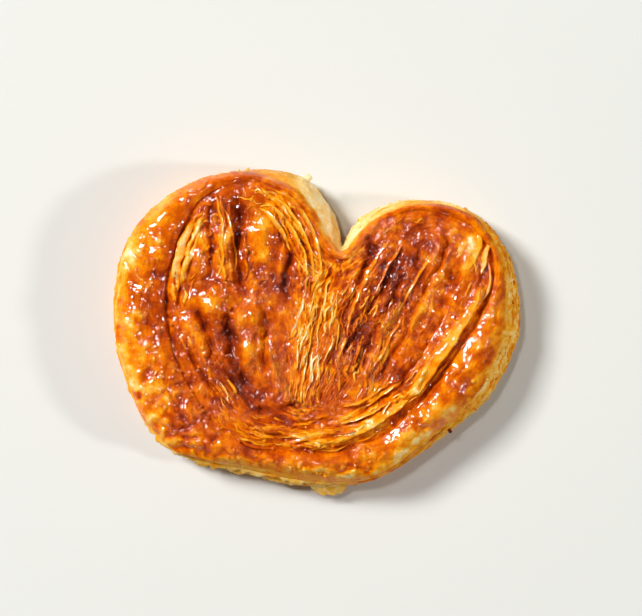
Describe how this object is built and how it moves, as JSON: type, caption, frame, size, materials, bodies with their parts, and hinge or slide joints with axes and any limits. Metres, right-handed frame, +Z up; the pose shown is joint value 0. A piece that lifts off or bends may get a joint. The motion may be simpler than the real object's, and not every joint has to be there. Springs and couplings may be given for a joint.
{
  "type": "palmier pastry",
  "caption": "Heart-shaped biscuit of rolled puff pastry with a V notch between two lobes, caramelised and sugar-glazed on the cut face.",
  "frame": {"origin": "under the middle of the bounding box, on the flat surface that the palmier lies on", "axes": "+Z up through the glazed cut face; +Y from the round tip towards the notch; +X to the right, seen from above with the notch away from the viewer"},
  "size_m": [0.0878, 0.0698, 0.0151],
  "materials": {
    "glazed_pastry": "satin"
  },
  "bodies": {
    "root": {"palmier": "glazed_pastry"}
  },
  "joints": []
}
